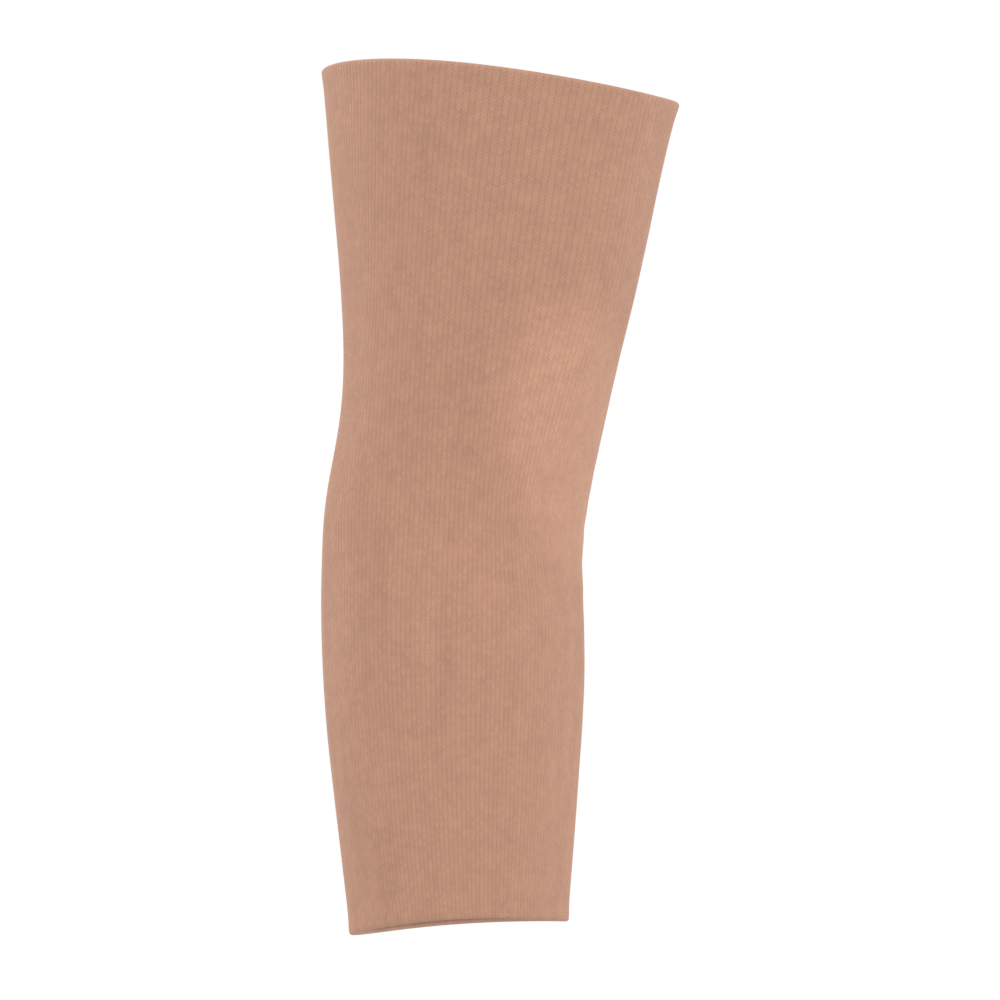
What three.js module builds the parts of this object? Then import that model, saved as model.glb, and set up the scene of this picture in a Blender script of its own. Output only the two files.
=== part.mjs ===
// Tubular knitted elbow support, held in the shape that it takes on a slightly bent right arm.
// Millimetres, +Z up the arm. The origin is the centre of the elbow: -Y is the crook of the elbow,
// +Y its point, +X the side towards the body and -X the outer side.
import * as THREE from 'three';
import { LoftGeometry } from 'three/addons/geometries/LoftGeometry.js';
import { mergeVertices } from 'three/addons/utils/BufferGeometryUtils.js';

const degree = Math.PI / 180;

// Driving dimensions
const arm = {
  upperLean: 6.7, // degrees that the upper arm comes forward as it rises
  lowerLean: 4.8, // degrees that the forearm comes forward as it falls
  bendRound: 32, // rounds the bend between them: larger is gentler
  outwardLean: 2.5, // degrees that the whole arm leans away from the body as it falls
};
const knit = {
  wall: 1.4, // thickness of the stretched fabric
  edgeWall: 2.2, // thickness of each edge, where the knit turns back on itself
  edgeBand: 6, // length of arm over which the wall thickens to that edge
};

// Mean distance of each edge from the elbow, how much further it reaches at the front and at the outer
// side, and how far it bows out on two opposite sides, the first of them bowAround degrees round
const edges = {
  upper: { reach: 137.1, atFront: 1.1, atOuter: 0.4, bow: 1.6, bowAround: 29 },
  lower: { reach: 122.2, atFront: 1.6, atOuter: 3.4, bow: 1, bowAround: 136 },
};

// Sections square to the arm's axis: width is from side to side, depth from front to back, and
// inward and forward move the section off the axis
const sections = [
  { along: 155, width: 111.5, depth: 124, inward: 0.5, forward: 1 },
  { along: 115, width: 98, depth: 107.5, inward: 0.8, forward: 1.8 },
  { along: 75, width: 86.5, depth: 92, inward: 1.2, forward: 3.5 },
  { along: 40, width: 83.5, depth: 77, inward: 1.3, forward: 4 },
  { along: 10, width: 84, depth: 72, inward: 0.5, forward: 1.4 },
  { along: -25, width: 82, depth: 77.5, inward: 0, forward: 0.3 },
  { along: -60, width: 79, depth: 76, inward: 0.3, forward: 0.3 },
  { along: -95, width: 73, depth: 70, inward: 0.6, forward: 0.6 },
  { along: -140, width: 64, depth: 60.5, inward: 0.6, forward: 0.6 },
];

// Places where the arm swells or hollows the fabric: around is in degrees from the body side, by the
// back (90), outer side (180) and front (270); length and breadth are how far each one fades out
const swellings = [
  { name: 'point of the elbow', along: -4, around: 92, rise: 4.5, length: 17, breadth: 30 },
  { name: 'crook of the elbow', along: -5, around: 286, rise: -1.6, length: 18, breadth: 42 },
  { name: 'inner knob', along: 9, around: 20, rise: 1.5, length: 13, breadth: 26 },
  { name: 'outer knob', along: 4, around: 160, rise: 1, length: 13, breadth: 24 },
  { name: 'front of the upper arm', along: 82, around: 284, rise: 2.8, length: 36, breadth: 42 },
  { name: 'back of the upper arm', along: 92, around: 88, rise: 2, length: 42, breadth: 45 },
  { name: 'top of the forearm', along: -36, around: 232, rise: 1.5, length: 28, breadth: 38 },
  { name: 'inner side of the forearm', along: -46, around: 332, rise: 0.8, length: 26, breadth: 36 },
];

// Creases across the crook: bow is how far their ends turn up, breadth how wide the groove is
const creases = [
  { along: 10, around: 262, deep: 0.4, breadth: 4, span: 30, bow: 3 },
  { along: -4, around: 280, deep: 0.7, breadth: 4, span: 38, bow: 4 },
  { along: -17, around: 268, deep: 0.3, breadth: 4, span: 28, bow: -2 },
];

// Facets of the mesh
const facets = {
  around: 56,
  along: 34, // between the two edge bands
  band: 2, // in each edge band, on each face
  rim: 6, // round each edge
  crowding: 0.5, // share of the even spacing that is left at the elbow, where the rows are closer
};

// The arm's axis is a hyperbola: straight along the upper arm and forearm, round at the elbow
const upperSlope = Math.tan(arm.upperLean * degree);
const lowerSlope = Math.tan(arm.lowerLean * degree);
const meanSlope = (upperSlope - lowerSlope) / 2;
const bendSlope = (upperSlope + lowerSlope) / 2;

function axisAt(along) {
  const round = Math.hypot(along, arm.bendRound);
  return {
    forward: meanSlope * along + bendSlope * (round - arm.bendRound),
    slope: meanSlope + (bendSlope * along) / round,
  };
}

const columns = ['width', 'depth', 'inward', 'forward'];
const upwards = sections.toReversed();
const profile = new THREE.CubicInterpolant(
  upwards.map((row) => row.along),
  upwards.flatMap((row) => columns.map((name) => row[name])),
  columns.length,
);

// Smallest angle from one direction round the arm to another, in degrees
function turnBetween(around, other) {
  return THREE.MathUtils.euclideanModulo(around - other + 180, 360) - 180;
}

function hump(share) {
  return Math.exp(-share * share);
}

// Height of the fabric over its plain section
function reliefAt(along, around) {
  let height = 0;
  for (const swell of swellings) {
    const turn = turnBetween(around, swell.around);
    height += swell.rise * hump((along - swell.along) / swell.length) * hump(turn / swell.breadth);
  }
  for (const crease of creases) {
    const turn = turnBetween(around, crease.around) / crease.span;
    const across = along - crease.along - crease.bow * turn * turn;
    height -= crease.deep * hump(across / crease.breadth) * hump(turn);
  }
  return height;
}

// A point of the wall, a depth in from its outer face
function wallPoint(along, around, depthIn) {
  const [width, depth, inward, forward] = profile.evaluate(along);
  const rise = reliefAt(along, around) - depthIn;
  const x = inward + (width / 2 + rise) * Math.cos(around * degree);
  const back = (depth / 2 + rise) * Math.sin(around * degree) - forward;
  const axis = axisAt(along);
  const square = Math.hypot(1, axis.slope);
  return new THREE.Vector3(
    x,
    back / square - axis.forward,
    along + (back * axis.slope) / square,
  );
}

function edgeReach(edge, around) {
  const front = -Math.sin(around * degree);
  const outer = -Math.cos(around * degree);
  const bow = Math.cos(2 * (around - edge.bowAround) * degree);
  return edge.reach + edge.atFront * front + edge.atOuter * outer + edge.bow * bow;
}

// Place along the arm of a row of the wall: share runs from -1, at the lower band, to 1 at the upper,
// and past is how far the row lies inside that band
function alongAt(row, around) {
  const side = row.share < 0 ? -1 : 1;
  const edge = row.share < 0 ? edges.lower : edges.upper;
  const plain = edgeReach(edge, around) - knit.edgeBand;
  return row.share * plain + side * row.past;
}

// Rows up the outer face of the wall, with the wall's growth in the edge bands
function faceRows() {
  const rows = [];
  for (let i = -facets.along / 2; i <= facets.along / 2; i++) {
    const even = i / (facets.along / 2);
    const share = facets.crowding * even + (1 - facets.crowding) * even ** 3;
    rows.push({ share, past: 0, swell: 0 });
  }
  const bandEnd = knit.edgeBand - knit.edgeWall / 2;
  for (let i = 1; i <= facets.band; i++) {
    const step = i / facets.band;
    const swell = THREE.MathUtils.smoothstep(step, 0, 1) * (knit.edgeWall - knit.wall);
    rows.push({ share: 1, past: step * bandEnd, swell });
    rows.unshift({ share: -1, past: step * bandEnd, swell });
  }
  return rows;
}

// Half circle that turns the outer face into the inner one over an edge
function rimRows(share) {
  const radius = knit.edgeWall / 2;
  const rows = [];
  for (let i = 1; i < facets.rim; i++) {
    const turn = (i / facets.rim) * Math.PI;
    rows.push({
      share,
      past: knit.edgeBand - radius + radius * Math.sin(turn),
      depthIn: knit.wall / 2 - radius * Math.cos(turn),
    });
  }
  return rows;
}

// The wall's rows in a closed loop: up the outer face, over the upper edge, down the inner face and
// round the lower edge
function wallLoop() {
  const face = faceRows();
  const outside = face.map((row) => ({ ...row, depthIn: -row.swell / 2 }));
  const inside = face.map((row) => ({ ...row, depthIn: knit.wall + row.swell / 2 }));
  return [...outside, ...rimRows(1), ...inside.reverse(), ...rimRows(-1).reverse(), outside[0]];
}

function ringOf(row) {
  const ring = [];
  for (let i = 0; i < facets.around; i++) {
    const around = (i / facets.around) * 360;
    ring.push(wallPoint(alongAt(row, around), around, row.depthIn));
  }
  return ring;
}

function knitSleeve() {
  const loft = new LoftGeometry(wallLoop().map(ringOf));
  const skin = new THREE.BufferGeometry();
  skin.setIndex(loft.getIndex());
  skin.setAttribute('position', loft.getAttribute('position'));
  const geometry = mergeVertices(skin);
  geometry.computeVertexNormals();
  const material = new THREE.MeshStandardMaterial({ color: '#be927b', roughness: 0.85, metalness: 0 });
  const mesh = new THREE.Mesh(geometry, material);
  mesh.name = 'knit_sleeve';
  mesh.rotation.y = arm.outwardLean * degree;
  return mesh;
}

const elbowSupport = new THREE.Group();
elbowSupport.add(knitSleeve());

export default elbowSupport;
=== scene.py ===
import math

import bmesh
import bpy
import numpy as np
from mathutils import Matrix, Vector


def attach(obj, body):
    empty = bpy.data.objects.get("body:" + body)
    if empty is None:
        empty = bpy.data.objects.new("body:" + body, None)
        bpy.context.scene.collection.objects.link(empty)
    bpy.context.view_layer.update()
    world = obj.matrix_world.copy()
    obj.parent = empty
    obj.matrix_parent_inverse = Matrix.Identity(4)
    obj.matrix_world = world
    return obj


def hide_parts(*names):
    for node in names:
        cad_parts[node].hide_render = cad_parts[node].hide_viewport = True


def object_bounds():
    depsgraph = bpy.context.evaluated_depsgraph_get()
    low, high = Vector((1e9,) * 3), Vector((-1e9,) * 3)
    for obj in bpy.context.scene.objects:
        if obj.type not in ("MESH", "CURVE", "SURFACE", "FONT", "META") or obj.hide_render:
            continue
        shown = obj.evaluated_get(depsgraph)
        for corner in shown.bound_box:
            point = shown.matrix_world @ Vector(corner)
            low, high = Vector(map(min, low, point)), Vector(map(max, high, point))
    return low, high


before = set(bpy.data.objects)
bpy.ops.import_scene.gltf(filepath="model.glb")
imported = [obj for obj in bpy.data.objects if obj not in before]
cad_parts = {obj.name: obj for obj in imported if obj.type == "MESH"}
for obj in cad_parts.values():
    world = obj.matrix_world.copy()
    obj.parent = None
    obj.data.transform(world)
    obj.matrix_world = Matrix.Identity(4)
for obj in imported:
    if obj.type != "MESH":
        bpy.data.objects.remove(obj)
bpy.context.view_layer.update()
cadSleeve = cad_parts["knit_sleeve"]
print("frame loaded, CAD sleeve faces:", len(cadSleeve.data.polygons))


def linear(hexColour):  # sRGB hex to the linear values that shaders use
    channels = [int(hexColour[i:i + 2], 16) / 255 for i in (1, 3, 5)]
    return (*[c / 12.92 if c <= 0.04045 else ((c + 0.055) / 1.055) ** 2.4 for c in channels], 1)


# Adds a node: inputs are values, sockets or nodes (their first output), by name or in the sockets' order
def addNode(tree, kind, inputs=(), **settings):
    node = tree.nodes.new(kind)
    for name, value in settings.items():
        setattr(node, name, value)
    if isinstance(inputs, dict):
        pairs = [(node.inputs[name], value) for name, value in inputs.items()]
    else:
        pairs = zip([socket for socket in node.inputs if socket.enabled], inputs)
    for socket, value in pairs:
        if isinstance(value, bpy.types.Node):
            value = next(output for output in value.outputs if output.enabled)
        if isinstance(value, bpy.types.NodeSocket):
            tree.links.new(value, socket)
        else:
            socket.default_value = value
    return node


def show(obj):
    bpy.context.scene.collection.objects.link(obj)
    return obj


# Form that the knit is stretched over
armForm = {
    "mergeWithin": 1e-5,  # metres: joins the CAD triangles at their shared corners
    "joinWithin": math.radians(40),  # pairs of triangles flatter than this become one quad
    "smoothing": 2,  # subdivision levels that round off the CAD facets
    "rimBand": 0.03,  # metres of each end that are searched for its rim
    "rimSectors": 28,  # places round each rim that are read for its plane
    "elbowBand": 0.008,  # metres above and below the middle that are read for the elbow
}


def smoothArmForm():
    shape = bmesh.new()
    shape.from_mesh(cadSleeve.data)
    bmesh.ops.remove_doubles(shape, verts=shape.verts, dist=armForm["mergeWithin"])
    bmesh.ops.join_triangles(
        shape,
        faces=shape.faces,
        angle_face_threshold=armForm["joinWithin"],
        angle_shape_threshold=armForm["joinWithin"],
    )
    for face in shape.faces:
        face.smooth = True
    mesh = bpy.data.meshes.new("armForm")
    shape.to_mesh(mesh)
    shape.free()
    form = show(bpy.data.objects.new("armForm", mesh))
    rounding = form.modifiers.new("rounding", "SUBSURF")
    rounding.levels = rounding.render_levels = armForm["smoothing"]
    return form


# Knitted tube: metres, and counts of its stitches and mesh rows
sleeve = {
    "wales": 168,  # columns of stitches round the tube, each a fine rib
    "pointsPerWale": 4,
    "outerRows": 92,
    "rimRows": 6,
    "innerRows": 40,
    "crowding": -0.4,  # draws the rows together at the elbow and at both rims
    "wall": 0.0014,
    "edgeWall": 0.0022,
    "edgeBand": 0.006,
    "upperBow": 0.0016,  # how far each edge bows out on two opposite sides
    "upperBowTurn": math.radians(29),  # where the first of them is, from the body side by the back
    "lowerBow": 0.001,
    "lowerBowTurn": math.radians(136),
    "course": 0.00115,  # height of a row of stitches
    "ribHeight": 0.00011,
    "unevenness": 0.00022,  # soft swells of the fabric
    "unevenSize": 0.03,
    "creaseDepth": 0.00035,  # small folds in the crook of the elbow
    "creaseHeight": 0.007,
    "creaseWidth": 0.035,
    "creaseSpread": 0.042,
    "crookFrom": -0.2,  # how far forwards the fabric faces where those folds start
    "crookFull": -0.95,  # and where they are deepest
    "castFrom": 0.12,  # how far out the rays start that find the form
    "axisSteps": 64,
    "closeWithin": 1e-5,  # joins the tube's seams
}


# Plane through the tips of one rim: its middle, the way to the body side and the way to the back
def rimPlane(points, end):
    reach = points[:, 2] * end
    near = points[reach > reach.max() - armForm["rimBand"]]
    middle = near.mean(0)
    turn = np.arctan2(near[:, 1] - middle[1], near[:, 0] - middle[0]) / math.tau
    sector = np.floor(turn * armForm["rimSectors"]).astype(int)
    tips = np.array([max(near[sector == k], key=lambda p: p[2] * end) for k in np.unique(sector)])
    middle = tips.mean(0)
    normal = np.linalg.svd(tips - middle)[2][2]
    up = Vector(normal * np.sign(normal[2]))
    side = (Vector((1, 0, 0)) - up * up.x).normalized()
    inside = Vector(middle) - up * end * sleeve["edgeWall"] / 2
    return inside, side, up.cross(side)


def knitTree():
    tree = bpy.data.node_groups.new("knitTube", "GeometryNodeTree")
    tree.is_modifier = True
    kinds = {
        "Object": ("Arm form",),
        "Material": ("Knit",),
        "Int": ("Wales", "Points per wale", "Outer rows", "Rim rows", "Inner rows", "Axis steps"),
        "Vector": (
            "Lower middle", "Bend", "Upper middle", "Lower side", "Upper side", "Lower back", "Upper back",
        ),
        "Float": (
            "Crowding", "Wall", "Edge wall", "Edge band", "Upper bow", "Upper bow turn", "Lower bow",
            "Lower bow turn", "Course", "Rib height", "Unevenness", "Uneven size", "Crease depth",
            "Crease height", "Crease width", "Crease spread", "Crook from", "Crook full", "Cast from",
            "Close within",
        ),
    }
    for kind, names in kinds.items():
        for name in names:
            tree.interface.new_socket(name, in_out="INPUT", socket_type="NodeSocket" + kind)
    tree.interface.new_socket("Sleeve", in_out="OUTPUT", socket_type="NodeSocketGeometry")
    given = addNode(tree, "NodeGroupInput").outputs
    maths, vectors = "ShaderNodeMath", "ShaderNodeVectorMath"

    # Flat grid: columns go round the tube, rows up the outer face, over the rim and down the inner one
    columns = addNode(tree, maths, [given["Wales"], given["Points per wale"]], operation="MULTIPLY")
    topAt = addNode(tree, maths, [given["Outer rows"], given["Rim rows"]])
    bottomAt = addNode(tree, maths, [topAt, given["Inner rows"]])
    rowCount = addNode(tree, maths, [bottomAt, given["Rim rows"]])
    grid = addNode(tree, "GeometryNodeMeshGrid", {
        "Size X": 1.0,
        "Size Y": 1.0,
        "Vertices X": addNode(tree, maths, [columns, 1.0]),
        "Vertices Y": addNode(tree, maths, [rowCount, 1.0]),
    })
    gridPlace = addNode(tree, "ShaderNodeSeparateXYZ", [addNode(tree, "GeometryNodeInputPosition")])
    around = addNode(tree, maths, [gridPlace.outputs["X"], 0.5])
    loop = addNode(tree, maths, [gridPlace.outputs["Y"], 0.5])
    row = addNode(tree, maths, [loop, rowCount], operation="MULTIPLY")
    outerUp = addNode(tree, "ShaderNodeMapRange", [row, 0.0, given["Outer rows"]])
    overTop = addNode(tree, "ShaderNodeMapRange", [row, given["Outer rows"], topAt])
    innerDown = addNode(tree, "ShaderNodeMapRange", [row, topAt, bottomAt])
    underFoot = addNode(tree, "ShaderNodeMapRange", [row, bottomAt, rowCount])
    evenRise = addNode(tree, maths, [outerUp, innerDown], operation="SUBTRACT")
    halfTurns = addNode(tree, maths, [overTop, underFoot])
    turn = addNode(tree, maths, [halfTurns, math.pi], operation="MULTIPLY")
    cosTurn = addNode(tree, maths, [turn], operation="COSINE")
    inside = addNode(tree, "ShaderNodeMapRange", [cosTurn, 1.0, -1.0])

    # Share of the way up the tube, with the rows drawn together where the shape needs them
    wave = addNode(tree, maths, [evenRise, 2 * math.tau], operation="MULTIPLY")
    pull = addNode(tree, maths, [given["Crowding"], 2 * math.tau], operation="DIVIDE")
    waveHeight = addNode(tree, maths, [wave], operation="SINE")
    rise = addNode(tree, maths, [waveHeight, pull, evenRise], operation="MULTIPLY_ADD")

    # Rays from outside meet the form square to its bent axis
    axis = addNode(tree, "GeometryNodeCurveQuadraticBezier", {
        "Resolution": given["Axis steps"],
        "Start": given["Lower middle"],
        "Middle": given["Bend"],
        "End": given["Upper middle"],
    })
    onAxis = addNode(tree, "GeometryNodeSampleCurve", {"Curves": axis, "Factor": rise}, mode="FACTOR")
    sides = [rise, given["Lower side"], given["Upper side"]]
    backs = [rise, given["Lower back"], given["Upper back"]]
    side = addNode(tree, "ShaderNodeMix", sides, data_type="VECTOR")
    back = addNode(tree, "ShaderNodeMix", backs, data_type="VECTOR")
    upward = addNode(tree, vectors, [side, back], operation="CROSS_PRODUCT")
    angle = addNode(tree, maths, [around, math.tau], operation="MULTIPLY")
    cosAngle = addNode(tree, maths, [angle], operation="COSINE")
    sinAngle = addNode(tree, maths, [angle], operation="SINE")
    sideways = addNode(tree, vectors, {"Vector": side, "Scale": cosAngle}, operation="SCALE")
    backwards = addNode(tree, vectors, {"Vector": back, "Scale": sinAngle}, operation="SCALE")
    outward = addNode(tree, vectors, [sideways, backwards])
    step = addNode(tree, vectors, {"Vector": outward, "Scale": given["Cast from"]}, operation="SCALE")

    # Each edge bows out on two opposite sides, and the bow fades towards the middle of the tube
    bows = []
    for name, end, way in (("Upper", 1.0, 1.0), ("Lower", 0.0, -1.0)):
        fromBow = addNode(tree, maths, [angle, given[name + " bow turn"]], operation="SUBTRACT")
        twice = addNode(tree, maths, [fromBow, 2.0], operation="MULTIPLY")
        bowWave = addNode(tree, maths, [twice], operation="COSINE")
        bowShare = addNode(tree, "ShaderNodeMapRange", [rise, 0.5, end, 0.0, way])
        bowReach = addNode(tree, maths, [bowShare, given[name + " bow"]], operation="MULTIPLY")
        bows.append(addNode(tree, maths, [bowWave, bowReach], operation="MULTIPLY"))
    bow = addNode(tree, maths, bows)
    bowStep = addNode(tree, vectors, {"Vector": upward, "Scale": bow}, operation="SCALE")
    rowMiddle = addNode(tree, vectors, [onAxis.outputs["Position"], bowStep])

    form = addNode(tree, "GeometryNodeObjectInfo", {"Object": given["Arm form"]})
    meet = addNode(tree, "GeometryNodeRaycast", {
        "Target Geometry": form.outputs["Geometry"],
        "Attribute": addNode(tree, "GeometryNodeInputNormal").outputs["Normal"],
        "Source Position": addNode(tree, vectors, [rowMiddle, step]),
        "Ray Direction": addNode(tree, vectors, {"Vector": outward, "Scale": -1.0}, operation="SCALE"),
        "Ray Length": given["Cast from"],
    }, data_type="FLOAT_VECTOR")
    outerFace = meet.outputs["Hit Position"]
    normal = addNode(tree, vectors, [meet.outputs["Attribute"]], operation="NORMALIZE")

    # Thickness of the wall, which grows towards the turned edges
    length = addNode(tree, "GeometryNodeCurveLength", [axis])
    along = addNode(tree, maths, [rise, length], operation="MULTIPLY")
    fromTop = addNode(tree, maths, [length, along], operation="SUBTRACT")
    fromEdge = addNode(tree, maths, [along, fromTop], operation="MINIMUM")
    thickness = addNode(
        tree, "ShaderNodeMapRange",
        [fromEdge, 0.0, given["Edge band"], given["Edge wall"], given["Wall"]],
        interpolation_type="SMOOTHSTEP",
    )
    depthIn = addNode(tree, maths, [thickness, inside], operation="MULTIPLY")
    edgeRadius = addNode(tree, maths, [given["Edge wall"], 0.5], operation="MULTIPLY")
    sinTurn = addNode(tree, maths, [turn], operation="SINE")
    past = addNode(tree, maths, [sinTurn, edgeRadius], operation="MULTIPLY")

    # Ribs on the outer face, one for each wale
    wale = addNode(tree, maths, [around, given["Wales"]], operation="MULTIPLY")
    ribTurn = addNode(tree, maths, [wale, math.tau], operation="MULTIPLY")
    ribWave = addNode(tree, maths, [ribTurn], operation="COSINE")
    outside = addNode(tree, maths, [1.0, inside], operation="SUBTRACT")
    ribPeak = addNode(tree, maths, [outside, given["Rib height"]], operation="MULTIPLY")
    relief = addNode(tree, maths, [ribWave, ribPeak], operation="MULTIPLY")
    relief = addNode(tree, maths, [relief, depthIn], operation="SUBTRACT")

    # Soft swells all over, and small folds across the crook
    unevenScale = addNode(tree, maths, [1.0, given["Uneven size"]], operation="DIVIDE")
    swell = addNode(tree, "ShaderNodeTexNoise", {"Vector": outerFace, "Scale": unevenScale, "Detail": 1.0})
    swellHeight = addNode(tree, "ShaderNodeMapRange", [swell.outputs[0], 0.0, 1.0, -1.0, 1.0])
    relief = addNode(tree, maths, [swellHeight, given["Unevenness"], relief], operation="MULTIPLY_ADD")
    place = addNode(tree, "ShaderNodeSeparateXYZ", [outerFace])
    foldPlace = addNode(tree, "ShaderNodeCombineXYZ", [
        addNode(tree, maths, [place.outputs["X"], given["Crease width"]], operation="DIVIDE"),
        addNode(tree, maths, [place.outputs["Z"], given["Crease height"]], operation="DIVIDE"),
    ])
    fold = addNode(
        tree, "ShaderNodeTexNoise", {"Vector": foldPlace, "Scale": 1.0, "Detail": 0.0},
        noise_dimensions="2D",
    )
    foldHeight = addNode(tree, "ShaderNodeMapRange", [fold.outputs[0], 0.0, 1.0, -1.0, 1.0])
    facing = addNode(tree, "ShaderNodeSeparateXYZ", [normal])
    crook = addNode(
        tree, "ShaderNodeMapRange", [facing.outputs["Y"], given["Crook from"], given["Crook full"]],
        interpolation_type="SMOOTHSTEP",
    )
    fromElbow = addNode(tree, maths, [place.outputs["Z"]], operation="ABSOLUTE")
    nearElbow = addNode(
        tree, "ShaderNodeMapRange", [fromElbow, 0.0, given["Crease spread"], 1.0, 0.0],
        interpolation_type="SMOOTHSTEP",
    )
    foldShare = addNode(tree, maths, [crook, nearElbow], operation="MULTIPLY")
    foldDepth = addNode(tree, maths, [foldShare, given["Crease depth"]], operation="MULTIPLY")
    relief = addNode(tree, maths, [foldHeight, foldDepth, relief], operation="MULTIPLY_ADD")

    # Stitch coordinates run on without a break over the rims: wales round the tube, courses along it
    fromInside = addNode(tree, maths, [turn, math.pi], operation="SUBTRACT")
    offInside = addNode(tree, maths, [fromInside], operation="ABSOLUTE")
    rimTurn = addNode(tree, maths, [math.pi, offInside], operation="SUBTRACT")
    clothAlong = addNode(tree, maths, [rimTurn, edgeRadius, along], operation="MULTIPLY_ADD")
    course = addNode(tree, maths, [clothAlong, given["Course"]], operation="DIVIDE")
    stored = grid
    for name, first, second in (("knitUv", wale, course), ("OFBake", around, loop)):
        stored = addNode(tree, "GeometryNodeStoreNamedAttribute", {
            "Geometry": stored,
            "Name": name,
            "Value": addNode(tree, "ShaderNodeCombineXYZ", [first, second]),
        }, data_type="FLOAT2", domain="CORNER")
    stored = addNode(
        tree, "GeometryNodeStoreNamedAttribute", {"Geometry": stored, "Name": "inside", "Value": inside},
        data_type="FLOAT", domain="POINT",
    )

    # Final place of each point, then the seams are closed
    lift = addNode(tree, vectors, {"Vector": normal, "Scale": relief}, operation="SCALE")
    overEdge = addNode(tree, vectors, {"Vector": upward, "Scale": past}, operation="SCALE")
    moved = addNode(tree, "GeometryNodeSetPosition", {
        "Geometry": stored,
        "Position": addNode(tree, vectors, [outerFace, lift]),
        "Offset": overEdge,
    })
    closed = addNode(tree, "GeometryNodeMergeByDistance", {
        "Geometry": moved,
        "Distance": given["Close within"],
    })
    smooth = addNode(tree, "GeometryNodeSetShadeSmooth", [closed])
    real = addNode(tree, "GeometryNodeRealizeInstances", [smooth])
    dressed = addNode(tree, "GeometryNodeSetMaterial", {"Geometry": real, "Material": given["Knit"]})
    addNode(tree, "NodeGroupOutput", [dressed])
    return tree


def knitTube(form, material):
    points = np.array([v.co for v in form.data.vertices])
    lowerMiddle, lowerSide, lowerBack = rimPlane(points, -1)
    upperMiddle, upperSide, upperBack = rimPlane(points, 1)
    halfWay = (lowerMiddle + upperMiddle) / 2
    ring = points[abs(points[:, 2] - halfWay.z) < armForm["elbowBand"]]
    elbow = Vector((*(ring.max(0) + ring.min(0))[:2] / 2, halfWay.z))
    values = {
        "Arm form": form,
        "Knit": material,
        "Lower middle": lowerMiddle,
        "Bend": elbow * 2 - halfWay,  # takes the axis through the elbow's middle
        "Upper middle": upperMiddle,
        "Lower side": lowerSide,
        "Upper side": upperSide,
        "Lower back": lowerBack,
        "Upper back": upperBack,
    }
    maker = show(bpy.data.objects.new("knitMaker", bpy.data.meshes.new("knitMaker")))
    modifier = maker.modifiers.new("knitTube", "NODES")
    modifier.node_group = knitTree()
    for item in modifier.node_group.interface.items_tree:
        if item.in_out == "INPUT":
            words = item.name.split()
            key = words[0].lower() + "".join(word.capitalize() for word in words[1:])
            modifier[item.identifier] = values[item.name] if item.name in values else sleeve[key]
    depsgraph = bpy.context.evaluated_depsgraph_get()
    mesh = bpy.data.meshes.new_from_object(
        maker.evaluated_get(depsgraph), preserve_all_data_layers=True, depsgraph=depsgraph
    )
    maker.modifiers.clear()
    bpy.data.objects.remove(maker)
    mesh.name = "ribbed_knit_tube"
    return show(bpy.data.objects.new("ribbed_knit_tube", mesh))


# Circular knit of covered elastane and matt polyamide: soft, dry and slightly mottled, with a fine bloom at
# grazing angles. Real stitches are finer: these are drawn about 1.5 by 1.1 mm, four or five pixels in the
# render, so that they show.
knitLook = {
    "yarn": "#c6977f",
    "gap": "#9a6952",  # painted shade, seen between the loops and between the wales
    "inner": "#cfa58f",  # back of the knit
    "bloom": "#f0d9cc",
    "slant": 1.8,  # courses that a leg of a stitch climbs in the width of a wale
    "legFoot": 0.55,  # height of a leg at its sides, as a share of its middle
    "valley": 0.45,  # depth between the wales, as a share of a stitch's height
    "valleyFrom": 0.28,  # where that dip starts, in wales from the crest
    "arcRise": 0.22,  # courses that an arc on the back rises
    "gapShare": 0.45,
    "gapBelow": 0.6,  # height of a stitch under which the painted shade starts
    "heather": 0.10,  # tone from stitch to stitch
    "mottle": 0.10,  # tone in soft patches
    "mottleSize": 0.006,
    "streak": 0.03,  # tone from wale to wale, strongest in the lower half
    "streakWales": 4,
    "streakCourses": 60,
    "streakLevels": (0.03, -0.04),  # metres above the elbow, from a third of that tone to all of it
    "rimShade": 0.12,
    "stitchHeight": 0.00022,
    "bumpStrength": 0.5,
    "roughness": (0.78, 0.92),  # varies with the soft patches
    "ior": 1.53,
    "specular": 0.25,
    "bloomShare": 0.25,
    "bloomRoughness": 0.45,
}


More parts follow.
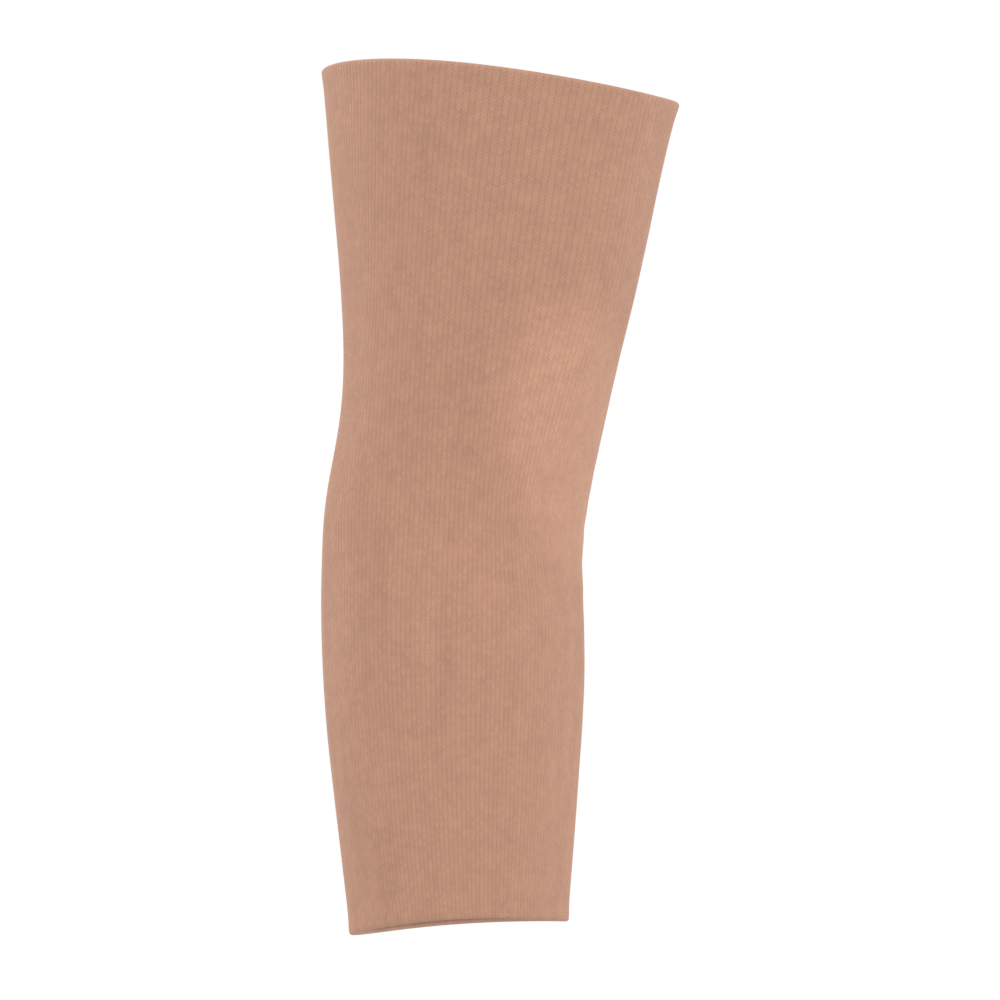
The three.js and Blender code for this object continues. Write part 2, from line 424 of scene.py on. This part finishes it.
def knitMaterial():
    material = bpy.data.materials.new("polyamide_elastane_knit")
    material.use_nodes = True
    tree = material.node_tree
    tree.nodes.clear()
    maths = "ShaderNodeMath"
    stitchUv = addNode(tree, "ShaderNodeSeparateXYZ", [addNode(tree, "ShaderNodeUVMap", uv_map="knitUv")])
    wale, course = stitchUv.outputs["X"], stitchUv.outputs["Y"]
    inside = addNode(tree, "ShaderNodeAttribute", attribute_name="inside").outputs["Fac"]

    # Face of the knit: two slanted legs to a stitch, which meet on the crest of each rib
    waleNumber = addNode(tree, maths, [wale], operation="ROUND")
    acrossWale = addNode(tree, maths, [wale, waleNumber], operation="SUBTRACT")
    fromCrest = addNode(tree, maths, [acrossWale], operation="ABSOLUTE")
    climb = addNode(tree, maths, [fromCrest, -knitLook["slant"], course], operation="MULTIPLY_ADD")
    loopPlace = addNode(tree, maths, [climb], operation="FRACT")
    loopTurn = addNode(tree, maths, [loopPlace, math.pi], operation="MULTIPLY")
    loopRound = addNode(tree, maths, [loopTurn], operation="SINE")
    legTurn = addNode(tree, maths, [fromCrest, math.tau], operation="MULTIPLY")
    legRound = addNode(tree, maths, [legTurn], operation="SINE")
    legHeight = addNode(tree, "ShaderNodeMapRange", [legRound, 0.0, 1.0, knitLook["legFoot"], 1.0])
    loopHeight = addNode(tree, maths, [loopRound, legHeight], operation="MULTIPLY")
    valley = addNode(
        tree, "ShaderNodeMapRange", [fromCrest, knitLook["valleyFrom"], 0.5, 0.0, knitLook["valley"]],
        interpolation_type="SMOOTHSTEP",
    )
    faceHeight = addNode(tree, maths, [loopHeight, valley], operation="SUBTRACT")

    # Back of the knit: rows of low arcs
    arcTurn = addNode(tree, maths, [acrossWale, math.tau], operation="MULTIPLY")
    arc = addNode(tree, maths, [arcTurn], operation="COSINE")
    arcPlace = addNode(tree, maths, [arc, knitLook["arcRise"], course], operation="MULTIPLY_ADD")
    backTurn = addNode(tree, maths, [arcPlace, math.pi], operation="MULTIPLY")
    backWave = addNode(tree, maths, [backTurn], operation="SINE")
    backHeight = addNode(tree, maths, [backWave], operation="ABSOLUTE")
    height = addNode(tree, "ShaderNodeMix", [inside, faceHeight, backHeight])

    # Tone of the yarn, and painted shade where the knit is low
    stitchNumber = addNode(tree, "ShaderNodeCombineXYZ", [
        waleNumber,
        addNode(tree, maths, [climb], operation="FLOOR"),
    ])
    stitchTone = addNode(tree, "ShaderNodeTexWhiteNoise", [stitchNumber], noise_dimensions="2D")
    objectPlace = addNode(tree, "ShaderNodeTexCoord").outputs["Object"]
    patch = addNode(tree, "ShaderNodeTexNoise", {
        "Vector": objectPlace,
        "Scale": 1 / knitLook["mottleSize"],
        "Detail": 2.0,
    })
    half = knitLook["heather"] / 2
    tone = addNode(tree, "ShaderNodeMapRange", [stitchTone.outputs["Value"], 0.0, 1.0, 1 - half, 1 + half])
    half = knitLook["mottle"]
    patchTone = addNode(tree, "ShaderNodeMapRange", [patch.outputs[0], 0.0, 1.0, 1 - half, 1 + half])
    tone = addNode(tree, maths, [tone, patchTone], operation="MULTIPLY")
    streakPlace = addNode(tree, "ShaderNodeCombineXYZ", [
        addNode(tree, maths, [waleNumber, knitLook["streakWales"]], operation="DIVIDE"),
        addNode(tree, maths, [course, knitLook["streakCourses"]], operation="DIVIDE"),
    ])
    streak = addNode(
        tree, "ShaderNodeTexNoise", {"Vector": streakPlace, "Scale": 1.0, "Detail": 1.0},
        noise_dimensions="2D",
    )
    level = addNode(tree, "ShaderNodeSeparateXYZ", [objectPlace]).outputs["Z"]
    most = knitLook["streak"]
    streakShare = addNode(tree, "ShaderNodeMapRange", [level, *knitLook["streakLevels"], most / 3, most])
    # Noise keeps near its middle, so it is stretched
    streakTone = addNode(tree, "ShaderNodeMapRange", [streak.outputs[0], 0.0, 1.0, -2.0, 2.0])
    streakTone = addNode(tree, maths, [streakTone, streakShare, 1.0], operation="MULTIPLY_ADD")
    tone = addNode(tree, maths, [tone, streakTone], operation="MULTIPLY")
    outside = addNode(tree, maths, [1.0, inside], operation="SUBTRACT")
    onRim = addNode(tree, maths, [outside, inside], operation="MULTIPLY")
    # onRim is a quarter at the tip of an edge, which painted shade darkens
    paintedRimShade = addNode(tree, maths, [onRim, -4 * knitLook["rimShade"], 1.0], operation="MULTIPLY_ADD")
    tone = addNode(tree, maths, [tone, paintedRimShade], operation="MULTIPLY")
    # Painted shade: a darker colour where the knit is low, between the loops and in the valleys between the
    # wales
    gap = addNode(
        tree, "ShaderNodeMapRange",
        [height, -knitLook["valley"], knitLook["gapBelow"], knitLook["gapShare"], 0.0],
    )
    yarns = [inside, linear(knitLook["yarn"]), linear(knitLook["inner"])]
    yarn = addNode(tree, "ShaderNodeMix", yarns, data_type="RGBA")
    loops = addNode(tree, "ShaderNodeMix", [gap, yarn, linear(knitLook["gap"])], data_type="RGBA")
    colour = addNode(tree, "ShaderNodeVectorMath", {"Vector": loops, "Scale": tone}, operation="SCALE")

    bump = addNode(tree, "ShaderNodeBump", {
        "Strength": knitLook["bumpStrength"],
        "Distance": knitLook["stitchHeight"],
        "Height": height,
    })
    surface = addNode(tree, "ShaderNodeBsdfPrincipled", {
        "Base Color": colour,
        "Roughness": addNode(
            tree, "ShaderNodeMapRange", [patch.outputs[0], 0.0, 1.0, *knitLook["roughness"]]
        ),
        "Normal": bump,
        "IOR": knitLook["ior"],
        "Specular IOR Level": knitLook["specular"],
        "Sheen Weight": knitLook["bloomShare"],
        "Sheen Roughness": knitLook["bloomRoughness"],
        "Sheen Tint": linear(knitLook["bloom"]),
    })
    addNode(tree, "ShaderNodeOutputMaterial", {"Surface": surface})
    return material


form = smoothArmForm()
piece = knitTube(form, knitMaterial())
bpy.data.objects.remove(form)
print("knitted tube made:", len(piece.data.polygons), "faces")

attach(piece, "root")
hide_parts("knit_sleeve")

# Studio
studio = {
    "azimuth": math.radians(-40),
    "elevation": math.radians(-4),
    "distance": 4.5,
    "frameHeight": 0.306,  # metres that the picture shows at the object
    "sensor": 36,
    "clipEnd": 50,
    "floorDrop": 2.4,  # floor below the lower rim
    "floorSize": 60,
    "floorFade": (2.6, 6.0),  # metres from the origin over which it fades into the backdrop
    "floorColour": "#f4f3f1",
    "floorRoughness": 0.9,
    "backdrop": 1.0,  # brightness that the camera sees
    "ambient": 0.79,  # brightness that falls on the object
}
# Soft lights round the object: turn from the camera's side, height angle and cone in degrees, distance and
# size in metres, power in watts, and what they are aimed at, from the middle of the object
softLights = [
    {"name": "front", "turn": 0, "height": 10, "distance": 2.0, "power": 6.0, "size": 1.3},
    {"name": "right", "turn": 95, "height": -15, "distance": 0.9, "power": 1.0, "size": 0.5},
    {"name": "backLeft", "turn": -125, "height": 10, "distance": 2.0, "power": 12.5, "size": 1.2},
    {"name": "backRight", "turn": 125, "height": 10, "distance": 2.0, "power": 4.5, "size": 1.2},
    {"name": "top", "turn": 20, "height": 75, "distance": 2.2, "power": 13.5, "size": 1.6},
    {"name": "crook", "turn": 10, "height": 25, "distance": 0.9, "power": 8.9, "cone": 5.0,
     "aimedAt": (0.0177, -0.0149, 0.0117)},
]


def direction(azimuth, elevation):
    flat = math.cos(elevation)
    return Vector((math.sin(azimuth) * flat, -math.cos(azimuth) * flat, math.sin(elevation)))


def aim(obj, target):
    obj.rotation_euler = (target - obj.location).to_track_quat("-Z", "Y").to_euler()


def setCamera(middle):
    lens = bpy.data.cameras.new("camera")
    lens.sensor_width = studio["sensor"]
    lens.lens = studio["sensor"] * studio["distance"] / studio["frameHeight"]
    lens.clip_end = studio["clipEnd"]
    camera = show(bpy.data.objects.new("camera", lens))
    camera.location = middle + direction(studio["azimuth"], studio["elevation"]) * studio["distance"]
    aim(camera, middle)
    bpy.context.scene.camera = camera


def setLights(middle):
    for row in softLights:
        light = bpy.data.lights.new(row["name"], "SPOT" if "cone" in row else "AREA")
        light.energy = row["power"]
        if "cone" in row:
            light.spot_size = math.radians(row["cone"])
            light.spot_blend = 1.0
        else:
            light.size = row["size"]
        lamp = show(bpy.data.objects.new(row["name"], light))
        target = middle + Vector(row.get("aimedAt", (0, 0, 0)))
        way = direction(studio["azimuth"] + math.radians(row["turn"]), math.radians(row["height"]))
        lamp.location = target + way * row["distance"]
        aim(lamp, target)


# Matt paint: pale and even, and it fades out with distance so that the eye meets no horizon
def floorPaint():
    paint = bpy.data.materials.new("matt_floor_paint")
    paint.use_nodes = True
    tree = paint.node_tree
    tree.nodes.clear()
    place = addNode(tree, "ShaderNodeTexCoord").outputs["Object"]
    away = addNode(tree, "ShaderNodeVectorMath", [place], operation="LENGTH")
    fade = addNode(tree, "ShaderNodeMapRange", [away, *studio["floorFade"]], interpolation_type="SMOOTHSTEP")
    matt = addNode(tree, "ShaderNodeBsdfPrincipled", {
        "Base Color": linear(studio["floorColour"]),
        "Roughness": studio["floorRoughness"],
    })
    clear = addNode(tree, "ShaderNodeBsdfTransparent")
    faded = addNode(tree, "ShaderNodeMixShader", [fade, matt, clear])
    addNode(tree, "ShaderNodeOutputMaterial", {"Surface": faded})
    return paint


def layFloor(level):
    half = studio["floorSize"] / 2
    corners = [(-half, -half, level), (half, -half, level), (half, half, level), (-half, half, level)]
    mesh = bpy.data.meshes.new("floor")
    mesh.from_pydata(corners, [], [(0, 1, 2, 3)])
    mesh.materials.append(floorPaint())
    floor = show(bpy.data.objects.new("floor", mesh))


def setBackdrop():
    world = bpy.data.worlds.new("whiteStudio")
    world.use_nodes = True
    tree = world.node_tree
    tree.nodes.clear()
    seen = addNode(tree, "ShaderNodeLightPath").outputs["Is Camera Ray"]
    strength = addNode(
        tree, "ShaderNodeMapRange", [seen, 0.0, 1.0, studio["ambient"], studio["backdrop"]]
    )
    sky = addNode(tree, "ShaderNodeBackground", {"Color": (1, 1, 1, 1), "Strength": strength})
    addNode(tree, "ShaderNodeOutputWorld", {"Surface": sky})
    scene = bpy.context.scene
    scene.world = world
    scene.view_settings.view_transform = "Standard"
    scene.view_settings.look = "None"


low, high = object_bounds()
setCamera((low + high) / 2)
setLights((low + high) / 2)
layFloor(low.z - studio["floorDrop"])
setBackdrop()
print("studio set")
